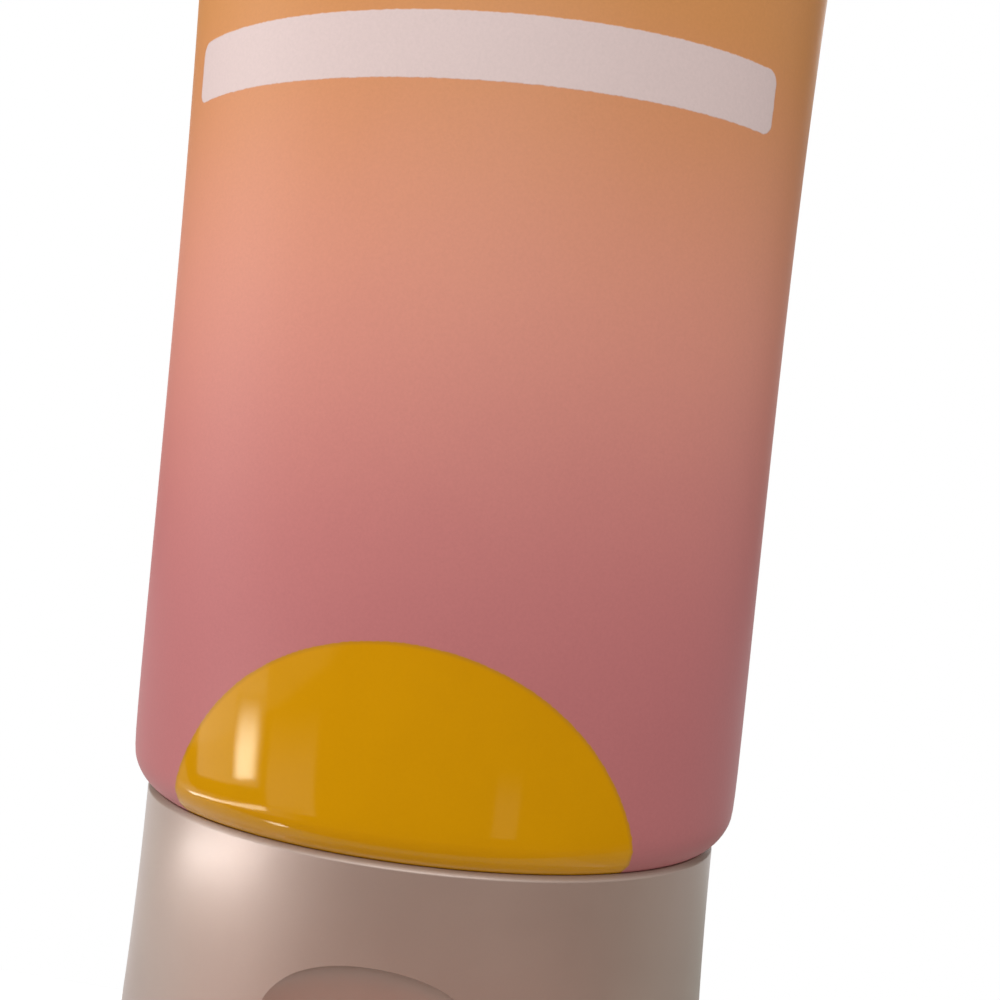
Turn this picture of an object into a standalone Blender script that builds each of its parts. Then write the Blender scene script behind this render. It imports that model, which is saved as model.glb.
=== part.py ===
"""Oval squeeze tube of sunscreen that stands on its flip-top cap.

Metres, +Z up. The printed front faces -Y, and the origin is the middle of the cap's flat foot.
"""
import math

import bmesh
import bpy
import numpy as np

# Printed sleeve
SLEEVE_WIDTH = 0.0410
SLEEVE_DEPTH = 0.0282
SLEEVE_WALL = 0.00045
SLEEVE_LENGTH = 0.1440
STRAIGHT_LENGTH = 0.0183
SEAL_HEIGHT = 0.0060
EDGE_RADIUS = 0.0033
EDGE_ROLL_DEGREES = 76.0

# Moulded shoulder and neck
SHOULDER_WALL = 0.0012
SHOULDER_RIM = 0.0022
NECK_BORE_SHARE = 0.743
NECK_BEAD = 0.0006
NECK_BEAD_HEIGHT = 0.0016
NECK_BEAD_OFFSET = 0.0024

# Closure, both halves
CAP_HEIGHT = 0.0255
CAP_INSET = 0.001225
CAP_FLARE = 0.00115
LID_HEIGHT = 0.0088
CAP_WALL = 0.0013
LID_WALL = 0.0016

# Fixed half: deck, nozzle, neck collar and plug lip
DECK_THICKNESS = 0.0013
PLATEAU_DEPTH = 0.0010
PLATEAU_CHAMFER = 0.0003
NOZZLE_LENGTH = 0.0030
NOZZLE_ROOT_DIAMETER = 0.0072
NOZZLE_TIP_DIAMETER = 0.0060
ORIFICE_DIAMETER = 0.0038
COLLAR_WALL = 0.0012
COLLAR_GAP = 0.0009
COLLAR_SNAP_HEIGHT = 0.0012
LIP_WALL = 0.0008
LIP_HEIGHT = 0.0022

# Thumb scoop in the fixed half
SCOOP_TOP_BELOW_RIM = 0.0060
SCOOP_WIDTH = 0.0164
SCOOP_RISE = 0.0049
SCOOP_DEPTH = 0.0017

# Opening half: foot, floor and plug pin
FOOT_ROUND = 0.0012
LID_FLOOR = 0.0013
LID_FILLET = 0.0008
PIN_ENTRY = 0.0015
PIN_WALL = 0.0007
PIN_CHAMFER = 0.0003

# Hinge at the back
HINGE_FLAT_DEPTH = 0.00075
HINGE_AXIS_PROUD = 0.00015
HINGE_POCKET_WIDTH = 0.0120
HINGE_POCKET_HEIGHT = 0.0066
STRAP_WIDTH = 0.0040
STRAP_WAIST = 0.0026
STRAP_THICKNESS = 0.00045
FILM_THICKNESS = 0.0006
FILM_WIDTH = 0.0030

# Product
FILL_SHARE = 0.81

# Fits, and the laws of the forms
CLEARANCE = 0.0003
HINGE_CLEARANCE = 0.00025
TAPER_POWER = 2.5
CUTTER_OVERRUN = 0.0040
ELLIPSE_POWER = 0.5
LENS_POWER = 1.0
SEAL_POWER = 0.05
SEGMENTS = 52
ROD_SEGMENTS = 20
POINT_SPREAD = 1.3
CURVE_SAMPLES = 400
BISECTIONS = 40
TAPER_RINGS = 12
LOTION_RINGS = 9
ROLL_RINGS = 5
WALL_RINGS = 5
DOME_RINGS = 7
DOME_END_DEGREES = 86.0
STRAP_STEPS = 9
SHARP_DEGREES = 35.0
CAVITY_SHARE = 0.985
RING_SPACING_POWER = 0.8
LENS_ONSET_POWER = 1.5

# Heights and half sizes that follow from the sizes above
HALF_WIDTH = SLEEVE_WIDTH / 2
HALF_DEPTH = SLEEVE_DEPTH / 2
RIM_SEAT_RADIUS = EDGE_RADIUS + CLEARANCE
RIM_ANGLE = math.acos((EDGE_RADIUS - CAP_INSET) / RIM_SEAT_RADIUS)
EDGE_HEIGHT = CAP_HEIGHT + RIM_SEAT_RADIUS * math.sin(RIM_ANGLE)
TAPER_START = CAP_HEIGHT + STRAIGHT_LENGTH
SEAL_START = CAP_HEIGHT + SLEEVE_LENGTH - SEAL_HEIGHT
SEAL_TOP = CAP_HEIGHT + SLEEVE_LENGTH
LID_TOP = LID_HEIGHT - CLEARANCE / 2
LEDGE = LID_HEIGHT + CLEARANCE / 2
PLATEAU = LID_HEIGHT - PLATEAU_DEPTH
DECK_TOP = PLATEAU + DECK_THICKNESS
NOZZLE_END = PLATEAU - NOZZLE_LENGTH
SHOULDER_INSET = SLEEVE_WALL + CLEARANCE
SHOULDER_ROUND = EDGE_RADIUS - SHOULDER_INSET
SHOULDER_INNER_ROUND = SHOULDER_ROUND - SHOULDER_WALL
PLATE_BOTTOM = EDGE_HEIGHT - SHOULDER_ROUND
PLATE_TOP = EDGE_HEIGHT - SHOULDER_INNER_ROUND
NECK_END = DECK_TOP + CLEARANCE
SNAP_BOTTOM = NECK_END + NECK_BEAD_OFFSET + NECK_BEAD_HEIGHT + CLEARANCE


def cap_inset(height):
    """How far the closure's wall stands inside the sleeve's oval at a height."""
    return CAP_INSET - CAP_FLARE * ((CAP_HEIGHT - height) / CAP_HEIGHT) ** 2


HINGE_FLAT = HALF_DEPTH - cap_inset(LID_HEIGHT) - HINGE_FLAT_DEPTH
HINGE_AXIS = (0.0, HINGE_FLAT + HINGE_AXIS_PROUD, LID_HEIGHT)

# The neck takes the room that the closure's narrow side leaves, from the deck's wall inwards
PLATEAU_INSET = cap_inset(LEDGE) + LID_WALL + CLEARANCE
DECK_INSET = PLATEAU_INSET + DECK_THICKNESS
COLLAR_RADIUS = HALF_DEPTH - DECK_INSET - COLLAR_GAP
COLLAR_BORE_RADIUS = COLLAR_RADIUS - COLLAR_WALL
NECK_RADIUS = COLLAR_BORE_RADIUS - CLEARANCE - NECK_BEAD
COLLAR_SNAP_RADIUS = NECK_RADIUS + CLEARANCE
BORE_RADIUS = NECK_RADIUS * NECK_BORE_SHARE
LIP_RADIUS = BORE_RADIUS - CLEARANCE


def quarter_curve(half_width, half_depth, power):
    """A quarter of an oval: a power of 0.5 is an ellipse, 1 a lens, and nearly 0 a slab."""
    turn = np.linspace(0, math.pi / 2, CURVE_SAMPLES)
    return half_width * np.cos(turn), half_depth * np.sin(turn) ** (2 * power)


def quarter_length(half_width, half_depth, power):
    across, along = quarter_curve(half_width, half_depth, power)
    return float(np.hypot(np.diff(across), np.diff(along)).sum())


QUARTER_GIRTH = quarter_length(HALF_WIDTH, HALF_DEPTH, ELLIPSE_POWER)


def width_at_girth(half_depth, power):
    """The half width that keeps the sleeve's girth when it is pressed to a half depth."""
    low, high = half_depth, QUARTER_GIRTH
    for _ in range(BISECTIONS):
        middle = (low + high) / 2
        if quarter_length(middle, half_depth, power) < QUARTER_GIRTH:
            low = middle
        else:
            high = middle
    return (low + high) / 2


def oval_ring(half_width, half_depth, height, power=ELLIPSE_POWER):
    """A ring of points, closer together at the two narrow ends."""
    across, along = quarter_curve(half_width, half_depth, power)
    steps = np.concatenate(([0], np.cumsum(np.hypot(np.diff(across), np.diff(along)))))
    count = SEGMENTS // 4
    wanted = steps[-1] * (np.arange(count + 1) / count) ** POINT_SPREAD
    xs = np.interp(wanted, steps, across)
    ys = np.interp(wanted, steps, along)
    right_back = list(zip(xs, ys))
    left_back = [(-x, y) for x, y in reversed(right_back[:-1])]
    left_front = [(-x, -y) for x, y in right_back[1:]]
    right_front = [(x, -y) for x, y in reversed(right_back[1:-1])]
    return [(x, y, height) for x, y in right_back + left_back + left_front + right_front]


def inset_ring(inset, height):
    """A ring that stands inside the shoulder's oval by one distance all round."""
    return oval_ring(HALF_WIDTH - inset, HALF_DEPTH - inset, height)


def round_ring(radius, height):
    return oval_ring(radius, radius, height)


def arc_rings(centre_inset, centre_height, radius, start_degrees, end_degrees, count=ROLL_RINGS):
    """Rings along a rounded edge. At 0 degrees it stands upright, and at 90 it lies flat, below."""
    rings = []
    for angle in np.radians(np.linspace(start_degrees, end_degrees, count)):
        inset = centre_inset - radius * math.cos(angle)
        rings.append(inset_ring(inset, centre_height - radius * math.sin(angle)))
    return rings


def make_material(name, colour, roughness, metallic=0.0):
    material = bpy.data.materials.new(name)
    material.use_nodes = True
    shader = material.node_tree.nodes["Principled BSDF"]
    shader.inputs["Base Color"].default_value = (*colour, 1.0)
    shader.inputs["Roughness"].default_value = roughness
    shader.inputs["Metallic"].default_value = metallic
    return material


def add_object(name, mesh, material=None, origin=(0.0, 0.0, 0.0)):
    """Links a mesh that is modelled in place, and sets its origin to a point."""
    mesh.update()
    for vertex in mesh.vertices:
        vertex.co = [vertex.co[axis] - origin[axis] for axis in range(3)]
    body = bpy.data.objects.new(name, mesh)
    body.location = origin
    if material:
        mesh.materials.append(material)
    bpy.context.collection.objects.link(body)
    return body


def loft(name, rings, material=None, origin=(0.0, 0.0, 0.0), ring_shaped=False):
    """Skins rings in order. The ends are closed, or joined when the solid has a hole through it."""
    build = bmesh.new()
    loops = [[build.verts.new(point) for point in ring] for ring in rings]
    spans = list(zip(loops, loops[1:]))
    if ring_shaped:
        spans.append((loops[-1], loops[0]))
    else:
        build.faces.new(list(reversed(loops[0])))
        build.faces.new(loops[-1])
    for lower, upper in spans:
        for index in range(len(lower)):
            after = (index + 1) % len(lower)
            build.faces.new((lower[index], lower[after], upper[after], upper[index]))
    for face in build.faces:
        face.smooth = True
    mesh = bpy.data.meshes.new(name)
    build.to_mesh(mesh)
    build.free()
    mesh.set_sharp_from_angle(angle=math.radians(SHARP_DEGREES))
    return add_object(name, mesh, material, origin)


def box(name, low, high, material=None):
    build = bmesh.new()
    bmesh.ops.create_cube(build, size=1.0)
    for vertex in build.verts:
        vertex.co = [low[axis] + (vertex.co[axis] + 0.5) * (high[axis] - low[axis]) for axis in range(3)]
    mesh = bpy.data.meshes.new(name)
    build.to_mesh(mesh)
    build.free()
    return add_object(name, mesh, material)


def rod_along_x(name, radius, left, right, material=None):
    """A round bar that lies on the hinge's axis."""
    build = bmesh.new()
    bmesh.ops.create_cone(build, cap_ends=True, segments=ROD_SEGMENTS, radius1=radius, radius2=radius,
                          depth=right - left)
    for vertex in build.verts:
        across, up, along = vertex.co
        vertex.co = ((left + right) / 2 + along, HINGE_AXIS[1] + across, HINGE_AXIS[2] + up)
    mesh = bpy.data.meshes.new(name)
    build.to_mesh(mesh)
    build.free()
    return add_object(name, mesh, material)


def apply_shape(body, tool, operation):
    """Joins, cuts or trims a body with a tool that stays in the file as a wire guide."""
    tool.hide_render = True
    tool.display_type = "WIRE"
    step = body.modifiers.new(operation.title(), "BOOLEAN")
    step.operation = operation
    step.solver = "EXACT"
    step.object = tool


def sleeve_section(height):
    """Half width, half depth and power of the sleeve's outer oval at a height."""
    share = max(height - TAPER_START, 0.0) / (SEAL_START - TAPER_START)
    pressed = (1 - SLEEVE_WALL / HALF_DEPTH) * share ** TAPER_POWER
    half_depth = HALF_DEPTH * (1 - pressed)
    power = ELLIPSE_POWER + (LENS_POWER - ELLIPSE_POWER) * pressed ** LENS_ONSET_POWER
    return width_at_girth(half_depth, power), half_depth, power


def sleeve_ring(height, inset=0.0):
    half_width, half_depth, power = sleeve_section(height)
    return oval_ring(half_width - inset, half_depth - inset, height, power)


def taper_heights(top, count=TAPER_RINGS):
    """Heights from the start of the taper to a top, closer together where the sleeve bends most."""
    shares = (np.arange(1, count + 1) / count) ** RING_SPACING_POWER
    return [TAPER_START + share * (top - TAPER_START) for share in shares]


def make_sleeve(material):
    """A printed wall of one girth: round shoulder edge below, welded flat above."""
    cavity_top = TAPER_START + CAVITY_SHARE * (SEAL_START - TAPER_START)
    inner = [sleeve_ring(height, SLEEVE_WALL) for height in reversed(taper_heights(cavity_top))]
    inner.append(inset_ring(SLEEVE_WALL, TAPER_START))
    inner += arc_rings(EDGE_RADIUS, EDGE_HEIGHT, EDGE_RADIUS - SLEEVE_WALL, 0, EDGE_ROLL_DEGREES)
    outer = arc_rings(EDGE_RADIUS, EDGE_HEIGHT, EDGE_RADIUS, EDGE_ROLL_DEGREES, 0)
    outer.append(inset_ring(0, TAPER_START))
    outer += [sleeve_ring(height) for height in taper_heights(SEAL_START)]
    seal_width = width_at_girth(SLEEVE_WALL, LENS_POWER)
    outer.append(oval_ring(seal_width, SLEEVE_WALL, SEAL_START + SLEEVE_WALL, SEAL_POWER))
    outer.append(oval_ring(seal_width, SLEEVE_WALL, SEAL_TOP, SEAL_POWER))
    return loft("tube_sleeve", inner + outer, material)


def make_shoulder(material):
    """The moulded head: a rim inside the sleeve, a flat oval plate and a neck with a snap bead."""
    bead_low = NECK_END + NECK_BEAD_OFFSET
    bead_high = bead_low + NECK_BEAD_HEIGHT
    rings = [
        round_ring(BORE_RADIUS, PLATE_TOP - SHOULDER_WALL / 2),
        round_ring(BORE_RADIUS, NECK_END),
        round_ring(NECK_RADIUS - NECK_BEAD, NECK_END),
        round_ring(NECK_RADIUS, NECK_END + NECK_BEAD),
        round_ring(NECK_RADIUS, bead_low),
        round_ring(NECK_RADIUS + NECK_BEAD, bead_low + NECK_BEAD_HEIGHT / 2),
        round_ring(NECK_RADIUS + NECK_BEAD, bead_high - NECK_BEAD_HEIGHT / 4),
        round_ring(NECK_RADIUS, bead_high),
        round_ring(NECK_RADIUS, PLATE_BOTTOM - NECK_BEAD),
        round_ring(NECK_RADIUS + NECK_BEAD, PLATE_BOTTOM),
    ]
    rings += arc_rings(EDGE_RADIUS, EDGE_HEIGHT, SHOULDER_ROUND, 90, 0)
    rings.append(inset_ring(SHOULDER_INSET, EDGE_HEIGHT + SHOULDER_RIM))
    rings.append(inset_ring(SHOULDER_INSET + SHOULDER_WALL, EDGE_HEIGHT + SHOULDER_RIM))
    rings += arc_rings(EDGE_RADIUS, EDGE_HEIGHT, SHOULDER_INNER_ROUND, 0, 90)
    rings.append(round_ring(BORE_RADIUS + SHOULDER_WALL / 2, PLATE_TOP))
    return loft("tube_shoulder", rings, material, ring_shaped=True)


def cap_wall_rings(low, high, inset=0.0, count=WALL_RINGS):
    """Rings up the closure's flared wall, from one height to another."""
    return [inset_ring(cap_inset(height) + inset, height) for height in np.linspace(low, high, count)]


def make_cap_base(material):
    """The fixed half: skirt, stepped deck, nozzle, and the collar that grips the neck's bead."""
    orifice = ORIFICE_DIAMETER / 2
    rim_end = math.acos((EDGE_RADIUS - CAP_INSET - CAP_WALL) / RIM_SEAT_RADIUS)
    rim_end_height = EDGE_HEIGHT - RIM_SEAT_RADIUS * math.sin(rim_end)
    collar_top = PLATE_BOTTOM - NECK_BEAD - CLEARANCE
    rings = [
        round_ring(orifice, NOZZLE_END),
        round_ring(NOZZLE_TIP_DIAMETER / 2, NOZZLE_END),
        round_ring(NOZZLE_ROOT_DIAMETER / 2, PLATEAU),
        inset_ring(PLATEAU_INSET + PLATEAU_CHAMFER, PLATEAU),
        inset_ring(PLATEAU_INSET, PLATEAU + PLATEAU_CHAMFER),
        inset_ring(PLATEAU_INSET, LEDGE),
    ]
    rings += cap_wall_rings(LEDGE, CAP_HEIGHT)
    rings += arc_rings(EDGE_RADIUS, EDGE_HEIGHT, RIM_SEAT_RADIUS, math.degrees(RIM_ANGLE),
                       math.degrees(rim_end))[1:]
    rings += cap_wall_rings(rim_end_height, LEDGE + DECK_THICKNESS, CAP_WALL)[1:]
    rings += [
        inset_ring(DECK_INSET, LEDGE + DECK_THICKNESS),
        inset_ring(DECK_INSET, DECK_TOP),
        round_ring(COLLAR_RADIUS, DECK_TOP),
        round_ring(COLLAR_RADIUS, collar_top),
        round_ring(COLLAR_BORE_RADIUS, collar_top),
        round_ring(COLLAR_BORE_RADIUS, SNAP_BOTTOM + COLLAR_SNAP_HEIGHT),
        round_ring(COLLAR_SNAP_RADIUS, SNAP_BOTTOM + COLLAR_SNAP_HEIGHT / 2),
        round_ring(COLLAR_BORE_RADIUS, SNAP_BOTTOM),
        round_ring(COLLAR_BORE_RADIUS, DECK_TOP),
        round_ring(LIP_RADIUS, DECK_TOP),
        round_ring(LIP_RADIUS, DECK_TOP + LIP_HEIGHT),
        round_ring(LIP_RADIUS - LIP_WALL, DECK_TOP + LIP_HEIGHT),
        round_ring(LIP_RADIUS - LIP_WALL, DECK_TOP),
        round_ring(orifice, DECK_TOP),
    ]
    return loft("cap_base", rings, material, ring_shaped=True)


def make_scoop(name, bottom, grow=0.0):
    """A half dome on a straight column: the room for a thumb tip, grown by a wall for its back."""
    centre_height = CAP_HEIGHT - SCOOP_TOP_BELOW_RIM - SCOOP_RISE
    front = HALF_DEPTH - cap_inset(centre_height)
    rings = []
    for angle in np.radians([0] + list(np.linspace(0, DOME_END_DEGREES, DOME_RINGS))):
        size = math.cos(angle)
        height = centre_height + (SCOOP_RISE + grow) * math.sin(angle) if rings else bottom
        ring = oval_ring((SCOOP_WIDTH / 2 + grow) * size, (SCOOP_DEPTH + grow) * size, height)
        rings.append([(x, y - front, z) for x, y, z in ring])
    return loft(name, rings)


def add_scoop(base):
    """Gives the skirt a wall that stands in behind the scoop, then cuts the scoop out of it."""
    backing = make_scoop("scoop_backing_guide", LEDGE + DECK_THICKNESS / 2, CAP_WALL)
    inside = loft("scoop_trim_guide", cap_wall_rings(PLATEAU, CAP_HEIGHT, CAP_WALL / 2))
    apply_shape(backing, inside, "INTERSECT")
    apply_shape(base, backing, "UNION")
    apply_shape(base, make_scoop("scoop_guide", LEDGE - CUTTER_OVERRUN), "DIFFERENCE")


def make_flip_lid(material):
    """The opening half: a shallow tray with a flat foot and the pin that plugs the orifice."""
    pin = ORIFICE_DIAMETER / 2 - CLEARANCE
    pin_top = NOZZLE_END + PIN_ENTRY
    rings = []
    for angle in np.radians([90, 60, 30, 0]):
        inset = cap_inset(0) + FOOT_ROUND * (1 - math.cos(angle))
        rings.append(inset_ring(inset, FOOT_ROUND * (1 - math.sin(angle))))
    rings += cap_wall_rings(FOOT_ROUND, LID_TOP)[1:]
    rings += cap_wall_rings(LID_TOP, LID_FLOOR + LID_FILLET, LID_WALL)
    rings += [
        inset_ring(cap_inset(LID_FLOOR) + LID_WALL + LID_FILLET, LID_FLOOR),
        round_ring(pin + PIN_CHAMFER, LID_FLOOR),
        round_ring(pin, LID_FLOOR + PIN_CHAMFER),
        round_ring(pin, pin_top - PIN_CHAMFER),
        round_ring(pin - PIN_CHAMFER, pin_top),
        round_ring(pin - PIN_WALL, pin_top),
        round_ring(pin - PIN_WALL, NOZZLE_END),
    ]
    return loft("flip_lid", rings, material, origin=HINGE_AXIS)


def cut_hinge_seat(base, lid):
    """A flat pocket across both halves, a round channel for the films, and the strap's window."""
    half = HINGE_POCKET_WIDTH / 2
    reach = HALF_DEPTH + CUTTER_OVERRUN
    pocket = box("hinge_pocket_guide", (-half, HINGE_FLAT, LID_HEIGHT - HINGE_POCKET_HEIGHT / 2),
                 (half, reach, LID_HEIGHT + HINGE_POCKET_HEIGHT / 2))
    channel = rod_along_x("hinge_channel_guide", FILM_THICKNESS / 2 + HINGE_CLEARANCE, -half, half)
    gap = STRAP_WIDTH / 2 + CLEARANCE
    window = box("strap_window_guide", (-gap, HINGE_FLAT - LID_WALL, LID_HEIGHT - HINGE_POCKET_HEIGHT / 2),
                 (gap, reach, LID_HEIGHT + CUTTER_OVERRUN))
    for half_cap in (base, lid):
        apply_shape(half_cap, pocket, "DIFFERENCE")
        apply_shape(half_cap, channel, "DIFFERENCE")
    apply_shape(lid, window, "DIFFERENCE")


def make_films(material):
    """The two thin webs that the lid turns on, at both sides of the strap."""
    outer = HINGE_POCKET_WIDTH / 2 - CLEARANCE
    inner = outer - FILM_WIDTH
    rod_along_x("hinge_film_left", FILM_THICKNESS / 2, -outer, -inner, material)
    rod_along_x("hinge_film_right", FILM_THICKNESS / 2, inner, outer, material)


def make_strap(material):
    """The waisted strap that snaps the lid open or shut, as a thin plate across the parting line."""
    build = bmesh.new()
    reach = HINGE_POCKET_HEIGHT / 2 - CLEARANCE
    back = HINGE_FLAT + HINGE_CLEARANCE
    sides = []
    for step in np.linspace(-1, 1, STRAP_STEPS):
        half = (STRAP_WAIST + (STRAP_WIDTH - STRAP_WAIST) * step ** 2) / 2
        sides.append((half, LID_HEIGHT + reach * step))
    outline = [(x, z) for x, z in sides] + [(-x, z) for x, z in reversed(sides)]
    face = build.faces.new([build.verts.new((x, back, z)) for x, z in outline])
    grown = bmesh.ops.extrude_face_region(build, geom=[face])["geom"]
    moved = [item for item in grown if isinstance(item, bmesh.types.BMVert)]
    bmesh.ops.translate(build, verts=moved, vec=(0.0, STRAP_THICKNESS, 0.0))
    bmesh.ops.recalc_face_normals(build, faces=build.faces)
    mesh = bpy.data.meshes.new("hinge_spring_strap")
    build.to_mesh(mesh)
    build.free()
    return add_object("hinge_spring_strap", mesh, material)


def make_lotion(material):
    """The product: a column in the neck, then the inside of the sleeve up to the fill line."""
    lip_bore = LIP_RADIUS - LIP_WALL - CLEARANCE
    neck_bore = BORE_RADIUS - CLEARANCE
    wall = SHOULDER_INSET + SHOULDER_WALL + CLEARANCE
    rim_top = EDGE_HEIGHT + SHOULDER_RIM + CLEARANCE
    inset = SLEEVE_WALL + CLEARANCE
    rings = [
        round_ring(lip_bore, DECK_TOP + CLEARANCE),
        round_ring(lip_bore, DECK_TOP + LIP_HEIGHT + CLEARANCE),
        round_ring(neck_bore, DECK_TOP + LIP_HEIGHT + CLEARANCE),
        round_ring(neck_bore, PLATE_TOP + CLEARANCE),
    ]
    rings += arc_rings(EDGE_RADIUS, EDGE_HEIGHT, SHOULDER_INNER_ROUND - CLEARANCE, 90, 0)
    rings.append(inset_ring(wall, rim_top))
    rings.append(inset_ring(inset, rim_top + CLEARANCE))
    rings.append(inset_ring(inset, TAPER_START))
    fill_line = TAPER_START + FILL_SHARE * (SEAL_START - TAPER_START)
    rings += [sleeve_ring(height, inset) for height in taper_heights(fill_line, LOTION_RINGS)]
    return loft("lotion", rings, material)


def main():
    for leftover in list(bpy.data.objects):
        bpy.data.objects.remove(leftover, do_unlink=True)
    print_finish = make_material("printed_sleeve", (0.80, 0.42, 0.30), 0.42)
    shoulder_finish = make_material("natural_plastic", (0.85, 0.84, 0.80), 0.45)
    pearl = make_material("pearl_silver_plastic", (0.56, 0.52, 0.46), 0.36, 0.35)
    cream = make_material("lotion_cream", (0.93, 0.90, 0.82), 0.35)
    make_sleeve(print_finish)
    make_shoulder(shoulder_finish)
    make_lotion(cream)
    base = make_cap_base(pearl)
    lid = make_flip_lid(pearl)
    add_scoop(base)
    cut_hinge_seat(base, lid)
    make_films(pearl)
    make_strap(pearl)


main()
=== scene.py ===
"""Looks of an oval squeeze tube of sunscreen that stands on its flip-top cap.

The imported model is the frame. Each operator dresses or moulds one piece or a group of like pieces,
and the last one sets the floor, the lights and the camera. Lengths are metres, +Z is up and the
printed front faces -Y.
"""
import math

import bpy
import numpy as np
from mathutils import Matrix, Vector


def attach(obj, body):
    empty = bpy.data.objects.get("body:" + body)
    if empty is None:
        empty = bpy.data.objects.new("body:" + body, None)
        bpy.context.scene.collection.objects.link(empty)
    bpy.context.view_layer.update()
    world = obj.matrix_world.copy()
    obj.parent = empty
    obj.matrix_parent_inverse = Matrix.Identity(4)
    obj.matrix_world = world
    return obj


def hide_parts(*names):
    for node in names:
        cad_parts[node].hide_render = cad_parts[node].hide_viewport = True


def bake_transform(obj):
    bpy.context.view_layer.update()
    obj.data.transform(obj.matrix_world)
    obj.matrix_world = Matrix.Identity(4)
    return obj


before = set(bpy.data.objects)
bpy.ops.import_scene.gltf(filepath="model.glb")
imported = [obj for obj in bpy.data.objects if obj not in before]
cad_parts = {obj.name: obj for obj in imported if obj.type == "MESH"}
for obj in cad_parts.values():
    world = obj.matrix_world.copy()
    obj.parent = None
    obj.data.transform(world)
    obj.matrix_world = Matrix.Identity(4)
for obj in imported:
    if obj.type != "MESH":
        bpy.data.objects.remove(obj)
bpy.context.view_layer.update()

bl_info = {
    "name": "Squeeze Tube Looks",
    "version": (1, 0, 0),
    "blender": (4, 5, 0),
    "location": "3D View > Sidebar > Tube",
    "description": "Dresses the packed squeeze tube: print, pearl closure, hinge and studio",
    "category": "Object",
}

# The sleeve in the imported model: its oval, its rolled lower edge and its welded seal
HALF_WIDTH = 0.0205
HALF_DEPTH = 0.0141
EDGE_RADIUS = 0.0033
EDGE_HEIGHT = 0.028436
SEAL_BOTTOM = 0.1635
SEAL_FOLD = 0.16395
SEAL_TOP = 0.1695

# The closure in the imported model: its outer form, its walls, its deck, its neck parts and its hinge
CAP_HEIGHT = 0.0255
CAP_INSET = 0.001225
CAP_FLARE = 0.00115
CAP_WALL = 0.0013
LID_HEIGHT = 0.0088
LID_WALL = 0.0016
LID_FLOOR = 0.0013
CLEARANCE = 0.0003
LID_TOP = LID_HEIGHT - CLEARANCE / 2
LEDGE = LID_HEIGHT + CLEARANCE / 2
DECK = 0.0013
PLATEAU = LID_HEIGHT - 0.0010
DECK_TOP = PLATEAU + DECK
NOZZLE_END = PLATEAU - 0.0030
ORIFICE_RADIUS = 0.0019
COLLAR_RADIUS = 0.009259
COLLAR_TOP = 0.024986
SNAP_BOTTOM = 0.0137
LIP_RADIUS = 0.005019
HINGE_FLAT = 0.012618
HINGE_LINE = (0.0, 0.012768, LID_HEIGHT)

# How far the dressed sleeve's rolled edge comes down, so that it rests on the closure
SEAT_DROP = 0.0002

# Details of the print: how far its edges blur and stray, and the pitch of the seal's ribs
PRINT_BLUR = 0.00005
PRINT_STRAY = 0.00012
RIB_PITCH = 0.0011

# How finely the dressed pieces are cut, and how far the heights of one ring's points may differ
OVAL_SIDES = 176
WALL_RINGS = 16
SEAL_STRIPS = 4
SHARP = math.radians(30)
LEVEL = 0.0001

ORIGIN = (0.0, 0.0, 0.0)
WHITE = (1.0, 1.0, 1.0, 1.0)


def clear_selection():
    """Leaves nothing selected, in object mode."""
    if bpy.context.mode != "OBJECT":
        bpy.ops.object.mode_set(mode="OBJECT")
    bpy.ops.object.select_all(action="DESELECT")


def select_only(piece):
    """Leaves one object selected and active, in object mode."""
    clear_selection()
    piece.select_set(True)
    bpy.context.view_layer.objects.active = piece


def edit_all():
    """Opens the active piece in edit mode with all of its mesh selected."""
    bpy.ops.object.mode_set(mode="EDIT")
    bpy.ops.mesh.select_all(action="SELECT")


def name_active(name):
    """Names the object that was just added, and its data."""
    piece = bpy.context.active_object
    piece.name = name
    piece.data.name = name
    return piece


def apply_modifier(piece, kind, **settings):
    """Adds one modifier with its settings and applies it."""
    select_only(piece)
    step = piece.modifiers.new(kind.title(), kind)
    for name, value in settings.items():
        setattr(step, name, value)
    bpy.ops.object.modifier_apply(modifier=step.name)


def carve(piece, tool, operation="DIFFERENCE"):
    """Cuts, joins or trims a piece with a tool, which is then thrown away."""
    apply_modifier(piece, "BOOLEAN", operation=operation, solver="EXACT", object=tool)
    bpy.data.objects.remove(tool, do_unlink=True)


def round_edges(piece, width, segments=3):
    """Rounds a piece's sharp edges."""
    apply_modifier(
        piece, "BEVEL",
        width=width, segments=segments, limit_method="ANGLE", angle_limit=SHARP)


def smooth(piece):
    """Shades a piece smooth up to its sharp edges."""
    select_only(piece)
    bpy.ops.object.shade_smooth_by_angle(angle=SHARP)
    apply_modifier(piece, "WEIGHTED_NORMAL", keep_sharp=True, weight=80)


def closure_inset(height):
    """How far the closure's flared wall stands inside the sleeve's oval at a height."""
    return CAP_INSET - CAP_FLARE * ((CAP_HEIGHT - height) / CAP_HEIGHT) ** 2


def oval(inset, height):
    """A ring that stands inside the sleeve's oval: its half width, its half depth, its height."""
    return (HALF_WIDTH - inset, HALF_DEPTH - inset, height)


def circle(radius, height):
    """A round ring, given as an oval one is."""
    return (radius, radius, height)


def closure_wall(start, end, inset=0.0):
    """Rings that follow the closure's outer wall from one height to another, set in by an inset."""
    heights = np.linspace(start, end, WALL_RINGS)
    return [oval(closure_inset(height) + inset, height) for height in heights]


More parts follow.
